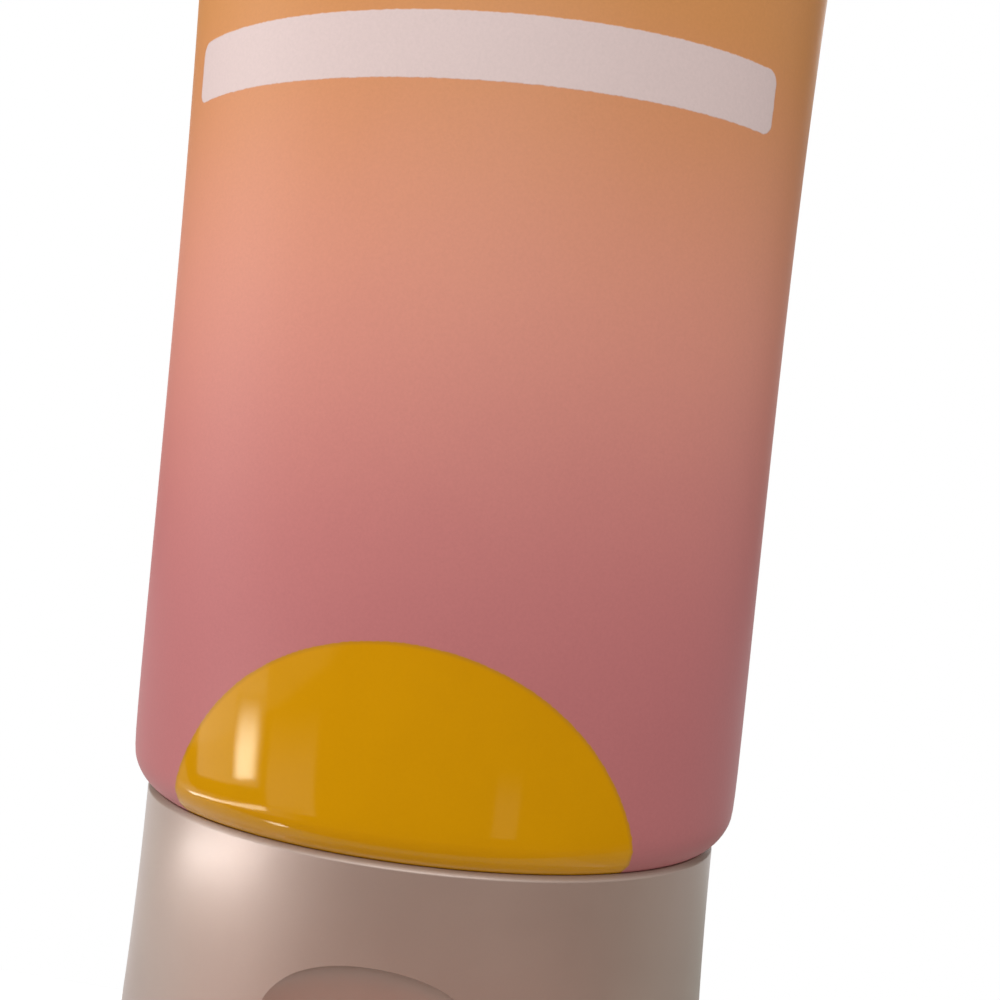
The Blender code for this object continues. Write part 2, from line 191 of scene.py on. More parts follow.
def extrude_rings(name, rings, ring_shaped=False):
    """Extrudes the edge of an oval from ring to ring, then caps both ends or joins them."""
    clear_selection()
    bpy.ops.mesh.primitive_circle_add(vertices=OVAL_SIDES, radius=1.0, location=ORIGIN)
    piece = name_active(name)
    edit_all()
    width, depth, height = rings[0]
    bpy.ops.transform.resize(value=(width, depth, 1.0), center_override=ORIGIN)
    bpy.ops.transform.translate(value=(0.0, 0.0, height))
    for next_width, next_depth, next_height in rings[1:]:
        rise = (0.0, 0.0, float(next_height - height))
        growth = (float(next_width / width), float(next_depth / depth), 1.0)
        bpy.ops.mesh.extrude_edges_move(TRANSFORM_OT_translate={"value": rise})
        bpy.ops.transform.resize(value=growth, center_override=ORIGIN)
        width, depth, height = next_width, next_depth, next_height
    bpy.ops.mesh.select_mode(type="EDGE")
    bpy.ops.mesh.select_all(action="DESELECT")
    bpy.ops.mesh.select_non_manifold()
    if ring_shaped:
        bpy.ops.mesh.bridge_edge_loops()
    else:
        bpy.ops.mesh.fill_holes(sides=0)
    bpy.ops.mesh.select_all(action="SELECT")
    bpy.ops.mesh.normals_make_consistent(inside=False)
    bpy.ops.object.mode_set(mode="OBJECT")
    return piece


def block(name, low, high):
    """A box between two corners."""
    low, high = Vector(low), Vector(high)
    clear_selection()
    bpy.ops.mesh.primitive_cube_add(size=1.0, location=ORIGIN)
    piece = name_active(name)
    edit_all()
    bpy.ops.transform.resize(value=high - low, center_override=ORIGIN)
    bpy.ops.transform.translate(value=(low + high) / 2)
    bpy.ops.object.mode_set(mode="OBJECT")
    return piece


def copy_of_node(name, node):
    """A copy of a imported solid, merged from loose triangles into one skin of quads."""
    piece = bpy.data.objects.new(name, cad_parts[node].data.copy())
    bpy.context.scene.collection.objects.link(piece)
    piece.data.name = name
    piece.data.materials.clear()
    select_only(piece)
    bpy.ops.mesh.customdata_custom_splitnormals_clear()
    edit_all()
    bpy.ops.mesh.remove_doubles(threshold=0.00001)
    bpy.ops.mesh.tris_convert_to_quads(
        face_threshold=math.radians(40), shape_threshold=math.radians(60))
    bpy.ops.mesh.normals_make_consistent(inside=False)
    bpy.ops.object.mode_set(mode="OBJECT")
    return piece


class Wire:
    """A value in a material. Arithmetic on it adds Math nodes."""

    def __init__(self, tree, socket=None):
        self.tree = tree
        self.socket = socket

    def node(self, kind, sockets=None, output=0, stops=None, **settings):
        """Adds one node: its settings and ramp stops first, then its sockets' values or links."""
        made = self.tree.nodes.new(kind)
        for name, value in settings.items():
            setattr(made, name, value)
        if stops:
            ramp = made.color_ramp
            while len(ramp.elements) < len(stops):
                ramp.elements.new(0.5)
            for element, (position, colour) in zip(ramp.elements, stops):
                element.position = position
                element.color = colour
        for name, value in (sockets or {}).items():
            self.feed(made.inputs[name], value)
        return Wire(self.tree, made.outputs[output])

    def feed(self, socket, value):
        """Links a wire to a socket, or sets the socket to a plain value."""
        if isinstance(value, Wire):
            self.tree.links.new(value.socket, socket)
        else:
            socket.default_value = value

    def maths(self, operation, first, second):
        return self.node("ShaderNodeMath", {0: first, 1: second}, operation=operation)

    def __add__(self, other):
        return self.maths("ADD", self, other)

    __radd__ = __add__

    def __sub__(self, other):
        return self.maths("SUBTRACT", self, other)

    def __rsub__(self, other):
        return self.maths("SUBTRACT", other, self)

    def __mul__(self, other):
        return self.maths("MULTIPLY", self, other)

    __rmul__ = __mul__

    def __truediv__(self, other):
        return self.maths("DIVIDE", self, other)

    def __pow__(self, other):
        return self.maths("POWER", self, other)

    def __abs__(self):
        return self.maths("ABSOLUTE", self, 0.0)

    def larger(self, other):
        return self.maths("MAXIMUM", self, other)

    def sine(self):
        return self.maths("SINE", self, 0.0)

    def step(self, low, high):
        """A smooth rise from 0 to 1 between two values; it falls where the first is the larger."""
        return self.node(
            "ShaderNodeMapRange",
            {"Value": self, "From Min": low, "From Max": high},
            interpolation_type="SMOOTHSTEP",
        )

    def parts(self):
        """The three numbers of a vector."""
        split = self.node("ShaderNodeSeparateXYZ", {0: self})
        return [Wire(self.tree, socket) for socket in split.socket.node.outputs]

    def place(self):
        """The place on the piece, in its own coordinates."""
        return self.node("ShaderNodeTexCoord", output="Object")

    def noise(self, place, scale, detail=2.0, roughness=0.5):
        sockets = {"Vector": place, "Scale": scale, "Detail": detail, "Roughness": roughness}
        return self.node("ShaderNodeTexNoise", sockets)

    def blend(self, share, first, second):
        """A colour between two colours."""
        sockets = {0: share, 6: first, 7: second}
        return self.node("ShaderNodeMix", sockets, output=2, data_type="RGBA")

    def dim(self, colour, factor):
        """A colour times a number."""
        return self.node("ShaderNodeVectorMath", {0: colour, 3: factor}, operation="SCALE")

    def bump(self, height, distance, strength=1.0, normal=None):
        """A bumped normal, on top of an earlier one where that is given."""
        sockets = {"Height": height, "Distance": distance, "Strength": strength}
        if normal is not None:
            sockets["Normal"] = normal
        return self.node("ShaderNodeBump", sockets)

    def ray_kinds(self):
        """One where a ray comes from the camera, is a reflection or passes through glass."""
        outputs = self.node("ShaderNodeLightPath").socket.node.outputs
        kinds = ("Is Camera Ray", "Is Glossy Ray", "Is Transmission Ray")
        return [Wire(self.tree, outputs[kind]) for kind in kinds]

    def principled(self):
        """The shader that a new finish starts with."""
        return Wire(self.tree, self.tree.nodes["Principled BSDF"].outputs[0])

    def surface(self, shader):
        """Makes a shader the finish's surface."""
        self.feed(self.tree.nodes["Material Output"].inputs["Surface"], shader)


def new_finish(name, **constants):
    """A material, the start of its wires and its shader's sockets, with the constant ones set."""
    material = bpy.data.materials.new(name)
    material.use_nodes = True
    tree = material.node_tree
    shader = tree.nodes["Principled BSDF"]
    for socket, value in constants.items():
        shader.inputs[socket.replace("_", " ")].default_value = value
    return material, Wire(tree), shader.inputs


def opaque(colour):
    """A colour with full alpha."""
    return (*colour, 1.0)


def print_fade(wire, look, share):
    """The print's colour at a share of the height from the cap line to the seal's top. Its dusty pink
    stop also carries painted shade, a little darker for the lower sleeve.
    """
    fade = wire.node(
        "ShaderNodeValToRGB",
        {0: share},
        stops=[
            (0.02, opaque(look.low_colour)),
            # The dusty pink stop is partly the print's own pink and partly painted shade: it is
            # dimmed a little so the lower sleeve looks less lit
            (0.125, opaque(look.rose_and_shade_colour)),
            (0.235, opaque(look.peach_colour)),
            (0.345, opaque(look.apricot_colour)),
            (0.80, opaque(look.high_colour)),
        ],
    )
    fade.socket.node.color_ramp.interpolation = "B_SPLINE"
    return fade


def label_share(look, across, height, stray):
    """One on the label band, a rectangle with round corners, and zero off it."""
    corner = look.label_corner
    beside = (across - (look.label_half_width - corner)).larger(0.0)
    beyond = (abs(height - look.label_height) - (look.label_half_height - corner)).larger(0.0)
    outside = (beside ** 2.0 + beyond ** 2.0) ** 0.5
    return (outside + stray).step(corner + PRINT_BLUR, corner - PRINT_BLUR)


def printed_finish(look):
    """Satin print that runs from colour to colour, a bare label band and a glossy half disc."""
    material, wire, paper = new_finish("sleeve_print", IOR=1.45, Specular_IOR_Level=0.22)
    place = wire.place()
    unrolled = wire.node("ShaderNodeAttribute", output="Vector", attribute_name="print_place")
    across, height, _ = unrolled.parts()
    speckle = wire.noise(place, scale=5200.0, detail=3.0, roughness=0.65)
    cloud = wire.noise(place, scale=240.0, detail=3.0, roughness=0.55)
    stray = (wire.noise(place, scale=3400.0) - 0.5) * PRINT_STRAY

    label = label_share(look, across, height, stray)
    share = (height - CAP_HEIGHT) / (SEAL_TOP - CAP_HEIGHT) + (cloud - 0.5) * 0.012
    ground = wire.blend(label, print_fade(wire, look, share), opaque(look.label_colour))
    wire.feed(paper["Base Color"], wire.dim(ground, (speckle - 0.5) * 0.14 + 1.0))
    wire.feed(paper["Roughness"], (speckle - 0.5) * 0.10 + 0.46 + label * 0.04)

    dents = wire.bump(wire.noise(place, scale=62.0, roughness=0.4), distance=0.00035, strength=0.6)
    tooth = wire.bump(speckle, distance=0.00002, strength=0.35, normal=dents)
    layers = wire.bump(label * 0.5, distance=0.000025, normal=tooth)
    in_seal = height.step(SEAL_BOTTOM, SEAL_BOTTOM + 0.0003)
    ribs = ((across * (2 * math.pi / RIB_PITCH)).sine() * 0.5 + 0.5) * in_seal
    wire.feed(paper["Normal"], wire.bump(ribs, distance=0.00012, normal=layers))

    radius = (across ** 2.0 + (height - look.disc_centre) ** 2.0) ** 0.5
    disc = (radius + stray).step(look.disc_radius + PRINT_BLUR, look.disc_radius - PRINT_BLUR)
    mottle = cloud * 0.6 + speckle * 0.4
    yellow = wire.blend(mottle, opaque(look.disc_shade), opaque(look.disc_colour))
    rim = radius.step(look.disc_radius - 0.0003, look.disc_radius) * 0.6
    varnish = wire.node("ShaderNodeBsdfPrincipled", {
        "IOR": 1.5,
        "Specular IOR Level": 0.2,
        "Specular Tint": (1.0, 0.93, 0.62, 1.0),
        "Base Color": wire.blend(rim, yellow, opaque(look.disc_edge)),
        "Roughness": (speckle - 0.5) * 0.02 + 0.07,
        "Normal": dents,
    })
    wire.surface(wire.node("ShaderNodeMixShader", {0: disc, 1: wire.principled(), 2: varnish}))
    return material


def pearl_finish(look):
    """Satin pearl plastic: fine flakes in a warm ground under a soft clear skin."""
    name = "closure_pearl"
    if name in bpy.data.materials:
        return bpy.data.materials[name]
    material, wire, shader = new_finish(
        name, Coat_Weight=0.88, Coat_Roughness=0.46, Coat_IOR=1.8, IOR=1.45)
    place = wire.place()
    flake = wire.noise(place, scale=6400.0, roughness=0.7)
    cloud = wire.noise(place, scale=120.0, detail=3.0)
    light = (cloud * 0.6 + flake * 0.4).step(0.3, 0.7)
    colour = wire.blend(light, opaque(look.pearl_shade), opaque(look.pearl_colour))
    wire.feed(shader["Base Color"], colour)
    wire.feed(shader["Metallic"], flake.step(0.35, 0.65) * 0.20 + 0.10)
    wire.feed(shader["Roughness"], (flake - 0.5) * 0.10 + 0.40)
    waves = wire.bump(cloud, distance=0.00012, strength=0.25)
    grain = wire.bump(flake, distance=0.000008, strength=0.25, normal=waves)
    wire.feed(shader["Normal"], grain)
    return material


def cloudy_finish(name, scale, dark, light, rough, spread, distance, strength, **constants):
    """A pale material of which one cloud varies the colour, the roughness and the relief."""
    material, wire, shader = new_finish(name, **constants)
    cloud = wire.noise(wire.place(), scale, detail=3.0)
    wire.feed(shader["Base Color"], wire.blend(cloud, opaque(dark), opaque(light)))
    wire.feed(shader["Roughness"], cloud * spread + rough)
    wire.feed(shader["Normal"], wire.bump(cloud, distance, strength))
    return material


def natural_finish():
    """Unpigmented plastic of the shoulder, faintly cloudy."""
    return cloudy_finish(
        "milky_plastic", scale=300.0, dark=(0.66, 0.65, 0.60), light=(0.76, 0.75, 0.71),
        rough=0.32, spread=0.2, distance=0.00004, strength=0.3,
        Subsurface_Weight=0.15, Subsurface_Scale=0.001)


def cream_finish():
    """The lotion, an off-white cream."""
    return cloudy_finish(
        "sunscreen_cream", scale=180.0, dark=(0.84, 0.79, 0.66), light=(0.90, 0.87, 0.78),
        rough=0.22, spread=0.15, distance=0.0003, strength=0.4,
        Subsurface_Weight=0.3, Subsurface_Scale=0.002)


class PrintLook(bpy.types.PropertyGroup):
    """Sizes and colours of what is printed on the sleeve."""

    low_colour: bpy.props.FloatVectorProperty(
        name="Low Colour", description="Print at the cap line", subtype="COLOR",
        default=(0.43, 0.140, 0.140), min=0.0, max=1.0)
    # Partly the print's dusty pink, partly painted shade that darkens the lower sleeve a little
    rose_and_shade_colour: bpy.props.FloatVectorProperty(
        name="Rose Colour", description="Dusty pink above the half disc", subtype="COLOR",
        default=(0.49, 0.156, 0.158), min=0.0, max=1.0)
    peach_colour: bpy.props.FloatVectorProperty(
        name="Peach Colour", description="Print between pink and apricot", subtype="COLOR",
        default=(0.695, 0.290, 0.210), min=0.0, max=1.0)
    apricot_colour: bpy.props.FloatVectorProperty(
        name="Apricot Colour", description="Print around the label band", subtype="COLOR",
        default=(0.555, 0.231, 0.062), min=0.0, max=1.0)
    high_colour: bpy.props.FloatVectorProperty(
        name="High Colour", description="Print under the seal", subtype="COLOR",
        default=(0.59, 0.283, 0.042), min=0.0, max=1.0)
    disc_colour: bpy.props.FloatVectorProperty(
        name="Disc Colour", description="Golden half disc at the cap line", subtype="COLOR",
        default=(0.64, 0.290, 0.001), min=0.0, max=1.0)
    disc_shade: bpy.props.FloatVectorProperty(
        name="Disc Shade", description="Darker clouds in the half disc", subtype="COLOR",
        default=(0.56, 0.245, 0.001), min=0.0, max=1.0)
    disc_edge: bpy.props.FloatVectorProperty(
        name="Disc Edge", description="Darker line where the half disc's ink ends",
        subtype="COLOR", default=(0.40, 0.170, 0.020), min=0.0, max=1.0)
    label_colour: bpy.props.FloatVectorProperty(
        name="Label Colour", description="Bare label band", subtype="COLOR",
        default=(0.66, 0.52, 0.495), min=0.0, max=1.0)
    disc_radius: bpy.props.FloatProperty(
        name="Disc Radius", description="Radius of the half disc on the unrolled sleeve",
        default=0.01539, min=0.005, max=0.03, subtype="DISTANCE", unit="LENGTH")
    disc_centre: bpy.props.FloatProperty(
        name="Disc Centre", description="Height of the half disc's centre",
        default=CAP_HEIGHT - 0.0026, min=0.0, max=0.05, subtype="DISTANCE", unit="LENGTH")
    label_height: bpy.props.FloatProperty(
        name="Label Height", description="Height of the label band's middle",
        default=CAP_HEIGHT + 0.04625, min=0.04, max=0.12, subtype="DISTANCE", unit="LENGTH")
    label_half_height: bpy.props.FloatProperty(
        name="Label Half Height", description="Half the label band's height",
        default=0.00193, min=0.0005, max=0.01, subtype="DISTANCE", unit="LENGTH")
    label_half_width: bpy.props.FloatProperty(
        name="Label Half Width", description="Half the label band's width, unrolled",
        default=0.01955, min=0.005, max=0.025, subtype="DISTANCE", unit="LENGTH")
    label_corner: bpy.props.FloatProperty(
        name="Label Corner", description="Radius of the label band's corners",
        default=0.0008, min=0.0001, max=0.0017, subtype="DISTANCE", unit="LENGTH")


class ClosureLook(bpy.types.PropertyGroup):
    """Sizes and colours of the pearl closure."""

    pearl_colour: bpy.props.FloatVectorProperty(
        name="Pearl Colour", description="Light flakes of the closure's plastic",
        subtype="COLOR", default=(0.313, 0.213, 0.162), min=0.0, max=1.0)
    pearl_shade: bpy.props.FloatVectorProperty(
        name="Pearl Shade", description="Ground under the flakes", subtype="COLOR",
        default=(0.279, 0.184, 0.139), min=0.0, max=1.0)
    scoop_width: bpy.props.FloatProperty(
        name="Scoop Width", description="Width of the thumb scoop",
        default=0.0164, min=0.008, max=0.022, subtype="DISTANCE", unit="LENGTH")
    scoop_rise: bpy.props.FloatProperty(
        name="Scoop Rise", description="Height of the scoop's domed part",
        default=0.0049, min=0.002, max=0.008, subtype="DISTANCE", unit="LENGTH")
    scoop_depth: bpy.props.FloatProperty(
        name="Scoop Depth", description="How far the scoop goes into the wall",
        default=0.0017, min=0.0005, max=0.003, subtype="DISTANCE", unit="LENGTH")
    scoop_top: bpy.props.FloatProperty(
        name="Scoop Top", description="Height of the scoop's arch",
        default=CAP_HEIGHT - 0.0060, min=0.012, max=0.024, subtype="DISTANCE", unit="LENGTH")
    edge: bpy.props.FloatProperty(
        name="Edge Radius", description="Rounding of the closure's moulded edges",
        default=0.00008, min=0.00002, max=0.0004, subtype="DISTANCE", unit="LENGTH")


class StudioLook(bpy.types.PropertyGroup):
    """The camera, the floor, the lamps and what the tube mirrors."""

    lens: bpy.props.FloatProperty(
        name="Lens", description="Focal length on a 36 mm sensor",
        default=39.301, min=10.0, max=200.0, unit="CAMERA")
    eye: bpy.props.FloatVectorProperty(
        name="Eye", description="Place of the camera",
        default=(0.012345, -0.073620, CAP_HEIGHT + 0.021947),
        subtype="TRANSLATION", unit="LENGTH")
    turn: bpy.props.FloatVectorProperty(
        name="Turn", description="The camera's tilt below the horizon, its roll and its bearing",
        default=(math.radians(0.672), math.radians(5.666), math.radians(7.287)),
        subtype="EULER", unit="ROTATION")
    shelf_edge: bpy.props.FloatProperty(
        name="Shelf Edge", description="Where the floor ends behind the tube",
        default=0.0175, subtype="DISTANCE", unit="LENGTH")
    floor_glow: bpy.props.FloatProperty(
        name="Floor Glow", description="Light that the floor itself gives to the camera",
        default=0.68, min=0.0)
    ambient: bpy.props.FloatProperty(
        name="Ambient", description="Strength of the world's even light",
        default=0.43, min=0.0, max=1.0)
    key_power: bpy.props.FloatProperty(
        name="Key Power", description="Tall strip lamp at the left",
        default=0.026, min=0.0, unit="POWER")
    fill_power: bpy.props.FloatProperty(
        name="Fill Power", description="Wide soft lamp in front",
        default=2.4, min=0.0, unit="POWER")
    back_power: bpy.props.FloatProperty(
        name="Back Power", description="Soft lamp above and behind",
        default=2.2, min=0.0, unit="POWER")
    card_dark: bpy.props.FloatVectorProperty(
        name="Dark Card", description="Cards that the tube's edges and the half disc mirror",
        subtype="COLOR", default=(0.015, 0.015, 0.015), min=0.0, max=1.0)
    card_warm: bpy.props.FloatVectorProperty(
        name="Warm Card", description="Near part of the front card, which the closure mirrors",
        subtype="COLOR", default=(0.80, 0.20, 0.13), min=0.0, max=1.0)
    card_grey: bpy.props.FloatVectorProperty(
        name="Grey Card", description="Card at the right that the closure mirrors",
        subtype="COLOR", default=(0.52, 0.55, 0.50), min=0.0, max=1.0)
    window_glow: bpy.props.FloatProperty(
        name="Window Glow", description="Wide dim sheets that the half disc mirrors",
        default=2.2, min=0.0)
    band_glow: bpy.props.FloatProperty(
        name="Band Glow", description="Narrow bright sheet that the half disc mirrors",
        default=24.0, min=0.0)
    low_glow: bpy.props.FloatProperty(
        name="Low Glow", description="Low sheet at the left that the closure mirrors",
        default=1.0, min=0.0)
    streak_glow: bpy.props.FloatProperty(
        name="Streak Glow", description="Two small near sheets that the rolled edge mirrors",
        default=13.0, min=0.0)
    far_glow: bpy.props.FloatProperty(
        name="Far Glow", description="Small sheet at the right that the half disc mirrors",
        default=1.0, min=0.0)


class DressSleeve(bpy.types.Operator):
    """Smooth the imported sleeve, map it for the print and give it its finish"""

    bl_idname = "squeeze_tube.dress_sleeve"
    bl_label = "Dress Sleeve"

    def execute(self, context):
        sleeve = copy_of_node("printed_sleeve", "tube_sleeve")
        for point in sleeve.data.vertices:
            if point.co.z < EDGE_HEIGHT + LEVEL:
                point.co.z -= SEAT_DROP
        self.redraw_seal(sleeve)
        rings = self.outer_rings(sleeve)
        self.crease_seal(sleeve)
        apply_modifier(sleeve, "SUBSURF", levels=2, render_levels=2)
        self.map_print(sleeve, rings)
        smooth(sleeve)
        sleeve.data.materials.append(printed_finish(context.scene.print_look))
        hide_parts("tube_sleeve")
        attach(sleeve, "tube")
        return {"FINISHED"}

    @staticmethod
    def redraw_seal(sleeve):
        """Takes the uneven triangles off the seal and extrudes its band again in even strips."""
        select_only(sleeve)
        bpy.ops.object.mode_set(mode="EDIT")
        bpy.ops.mesh.select_mode(type="FACE")
        bpy.ops.mesh.select_all(action="DESELECT")
        bpy.ops.object.mode_set(mode="OBJECT")
        points = sleeve.data.vertices
        over_fold = SEAL_FOLD - 0.00001
        for face in sleeve.data.polygons:
            face.select = min(points[index].co.z for index in face.vertices) > over_fold
        bpy.ops.object.mode_set(mode="EDIT")
        bpy.ops.mesh.delete(type="FACE")
        bpy.ops.mesh.select_mode(type="EDGE")
        bpy.ops.mesh.select_non_manifold()
        rise = (0.0, 0.0, (SEAL_TOP - SEAL_FOLD) / SEAL_STRIPS)
        for _ in range(SEAL_STRIPS):
            bpy.ops.mesh.extrude_edges_move(TRANSFORM_OT_translate={"value": rise})
        bpy.ops.mesh.select_all(action="DESELECT")
        bpy.ops.mesh.select_non_manifold()
        bpy.ops.mesh.fill_holes(sides=0)
        bpy.ops.mesh.select_all(action="SELECT")
        bpy.ops.mesh.normals_make_consistent(inside=False)
        bpy.ops.object.mode_set(mode="OBJECT")

    @staticmethod
    def outer_rings(sleeve):
        """Height, half width and half depth of each ring of points on the outside."""
        outside = np.array([
            point.co for point in sleeve.data.vertices
            if point.co.x * point.normal.x + point.co.y * point.normal.y > 0.0
        ])
        rings = []
        for height in np.unique(outside[:, 2].round(5)):
            level = np.abs(outside[np.abs(outside[:, 2] - height) < 0.00002])
            rings.append((height, level[:, 0].max(), level[:, 1].max()))
        return np.array(rings)

    @staticmethod
    def crease_seal(sleeve):
        """Keeps the seal's top edge sharp, and its fold fairly so, when the sleeve is smoothed."""
        creases = sleeve.data.attributes.new("crease_edge", "FLOAT", "EDGE")
        points = sleeve.data.vertices
        for edge, crease in zip(sleeve.data.edges, creases.data):
            low, high = sorted(points[index].co.z for index in edge.vertices)
            in_fold = low > SEAL_BOTTOM - LEVEL and high < SEAL_FOLD + LEVEL
            if low > SEAL_TOP - LEVEL:
                crease.value = 0.9
            elif in_fold and high - low < LEVEL:
                crease.value = 0.35

    @staticmethod
    def map_print(sleeve, rings):
        """Stores each point's distance round the girth from the middle front, and its height."""
        turn = np.linspace(0, math.pi / 2, 400)
        steps = np.hypot(np.diff(HALF_WIDTH * np.sin(turn)), np.diff(HALF_DEPTH * np.cos(turn)))
        travel = np.concatenate(([0.0], np.cumsum(steps)))
        quarter = travel[-1]
        mesh = sleeve.data
        spots = np.zeros(len(mesh.vertices) * 3)
        mesh.vertices.foreach_get("co", spots)
        x, y, z = spots.reshape(-1, 3).T
        half_width = np.interp(z, rings[:, 0], rings[:, 1])
        flat = 1.0 - np.interp(z, rings[:, 0], rings[:, 2]) / HALF_DEPTH
        flat[z < EDGE_HEIGHT] = 0.0
        share = np.clip(np.abs(x) / half_width, 0.0, 1.0)
        across = (1.0 - flat) * np.interp(np.arcsin(share), turn, travel) + flat * share * quarter
        across[y > 0.0] = 2 * quarter - across[y > 0.0]
        place = np.column_stack((across, z, np.zeros(len(z))))
        stored = mesh.attributes.new("print_place", "FLOAT_VECTOR", "POINT")
        stored.data.foreach_set("vector", place.ravel())


class DressInside(bpy.types.Operator):
    """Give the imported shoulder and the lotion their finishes"""

    bl_idname = "squeeze_tube.dress_inside"
    bl_label = "Dress Inside"

    def execute(self, context):
        for node, finish in (("tube_shoulder", natural_finish()), ("lotion", cream_finish())):
            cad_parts[node].data.materials.clear()
            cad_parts[node].data.materials.append(finish)
        return {"FINISHED"}


def scoop_form(look, name, bottom, grow=0.0):
    """A half dome on a straight column, where a thumb tip goes, grown by a wall for its back."""
    middle = look.scoop_top - look.scoop_rise
    front = HALF_DEPTH - closure_inset(middle)
    width, depth = look.scoop_width / 2 + grow, look.scoop_depth + grow
    rings = [(width, depth, bottom)]
    for angle in np.radians(np.linspace(0, 88, 28)):
        size = math.cos(angle)
        height = middle + (look.scoop_rise + grow) * math.sin(angle)
        rings.append((width * size, depth * size, height))
    form = extrude_rings(name, rings)
    select_only(form)
    edit_all()
    bpy.ops.transform.translate(value=(0.0, -front, 0.0))
    bpy.ops.object.mode_set(mode="OBJECT")
    return form


def hinge_pocket():
    """The room at the back of the closure that the hinge parts lie in."""
    half_width, half_height, behind = 0.0060, 0.0033, 0.0200
    return block(
        "pocket_tool",
        (-half_width, HINGE_FLAT, LID_HEIGHT - half_height),
        (half_width, behind, LID_HEIGHT + half_height))


def hinge_groove():
    """A round bar along the hinge's line."""
    clear_selection()
    bpy.ops.mesh.primitive_cylinder_add(
        vertices=32, radius=0.00055, depth=0.0120,
        location=HINGE_LINE, rotation=(0.0, math.pi / 2, 0.0))
    return name_active("groove_tool")


def finish_moulding(piece, look):
    """Makes room for the hinge in a moulding, shades it smooth and gives it its finish."""
    carve(piece, hinge_pocket())
    carve(piece, hinge_groove())
    smooth(piece)
    piece.data.materials.append(pearl_finish(look))


class MouldCapBase(bpy.types.Operator):
    """Model the closure's fixed half: skirt, stepped deck, nozzle, collar and thumb scoop"""

    bl_idname = "squeeze_tube.mould_cap_base"
    bl_label = "Mould Cap Base"

    def execute(self, context):
        look = context.scene.closure_look
        base = extrude_rings("cap_base_moulding", self.rings(), ring_shaped=True)
        round_edges(base, look.edge)
        backing = scoop_form(look, "backing_tool", LEDGE + DECK / 2, CAP_WALL)
        trim = extrude_rings("trim_tool", closure_wall(PLATEAU, CAP_HEIGHT, CAP_WALL / 2))
        carve(backing, trim, "INTERSECT")
        carve(base, backing, "UNION")
        under_ledge = LEDGE - 0.004
        carve(base, scoop_form(look, "scoop_tool", under_ledge))
        finish_moulding(base, look)
        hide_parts("cap_base")
        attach(base, "tube")
        return {"FINISHED"}

    @staticmethod
    def rings():
        """From the nozzle out along the step and the skirt, over its rim and in to the lip."""
        nozzle_radius, nozzle_root = 0.0030, 0.0036
        chamfer = 0.0003
        bore = COLLAR_RADIUS - 0.0012
        bead = 0.0006
        lip_top, lip_bore = DECK_TOP + 0.0022, LIP_RADIUS - 0.0008
        step_inset = closure_inset(LEDGE) + LID_WALL + CLEARANCE
        # The rim follows the sleeve's rolled edge, which sinks into it by a hair
        seat = EDGE_RADIUS - 0.000065
        seat_height = EDGE_HEIGHT - SEAT_DROP
        seat_start = math.acos((EDGE_RADIUS - CAP_INSET - chamfer) / seat)
        seat_end = math.acos((EDGE_RADIUS - CAP_INSET - CAP_WALL) / seat)
        rim = seat_height - seat * math.sin(seat_start)
        inner_top = seat_height - seat * math.sin(seat_end)
        seat_rings = [
            oval(EDGE_RADIUS - seat * math.cos(angle), seat_height - seat * math.sin(angle))
            for angle in np.linspace(seat_start, seat_end, 6)
        ]
        return [
            circle(ORIFICE_RADIUS, NOZZLE_END),
            circle(nozzle_radius, NOZZLE_END),
            circle(nozzle_root, PLATEAU),
            oval(step_inset + chamfer, PLATEAU),
            oval(step_inset, PLATEAU + chamfer),
            oval(step_inset, LEDGE),
            *closure_wall(LEDGE, rim - chamfer),
            *seat_rings,
            *closure_wall(inner_top, LEDGE + DECK, CAP_WALL)[1:],
            oval(step_inset + DECK, LEDGE + DECK),
            oval(step_inset + DECK, DECK_TOP),
            circle(COLLAR_RADIUS, DECK_TOP),
            circle(COLLAR_RADIUS, COLLAR_TOP),
            circle(bore, COLLAR_TOP),
            circle(bore, SNAP_BOTTOM + 2 * bead),
            circle(bore - bead, SNAP_BOTTOM + bead),
            circle(bore, SNAP_BOTTOM),
            circle(bore, DECK_TOP),
            circle(LIP_RADIUS, DECK_TOP),
            circle(LIP_RADIUS, lip_top),
            circle(lip_bore, lip_top),
            circle(lip_bore, DECK_TOP),
            circle(ORIFICE_RADIUS, DECK_TOP),
        ]


class MouldFlipLid(bpy.types.Operator):
    """Model the closure's opening half: flat foot, walls and plug pin"""

    bl_idname = "squeeze_tube.mould_flip_lid"
    bl_label = "Mould Flip Lid"

    def execute(self, context):
        look = context.scene.closure_look
        lid = extrude_rings("flip_lid_moulding", self.rings())
        round_edges(lid, look.edge)
        finish_moulding(lid, look)
        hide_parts("flip_lid")
        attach(lid, "lid")
        return {"FINISHED"}

    @staticmethod
    def rings():
        """From the gate mark under the foot up the outer wall, down inside it and up the pin."""
        gate, gate_depth = 0.0009, 0.00015
        foot, fillet = 0.0012, 0.0008
        pin, pin_top = ORIFICE_RADIUS - CLEARANCE, NOZZLE_END + 0.0015
        pin_root, pin_chamfer, pin_bore = 0.0004, 0.0003, pin - 0.0007
        rings = [circle(gate, gate_depth), circle(gate + gate_depth, 0.0)]
        for angle in np.radians(np.linspace(90, 0, 8)):
            inset = closure_inset(0.0) + foot * (1 - math.cos(angle))
            rings.append(oval(inset, foot * (1 - math.sin(angle))))
        rings += closure_wall(foot, LID_TOP)[1:]
        rings += closure_wall(LID_TOP, LID_FLOOR + fillet, LID_WALL)
        for angle in np.radians((30, 60, 90)):
            inset = LID_WALL + fillet * (1 - math.cos(angle))
            height = LID_FLOOR + fillet * (1 - math.sin(angle))
            rings.append(oval(closure_inset(height) + inset, height))
        return rings + [
            circle(pin + pin_root, LID_FLOOR),
            circle(pin, LID_FLOOR + pin_root),
            circle(pin, pin_top - pin_chamfer),
            circle(pin - pin_chamfer, pin_top),
            circle(pin_bore, pin_top),
            circle(pin_bore, NOZZLE_END),
        ]


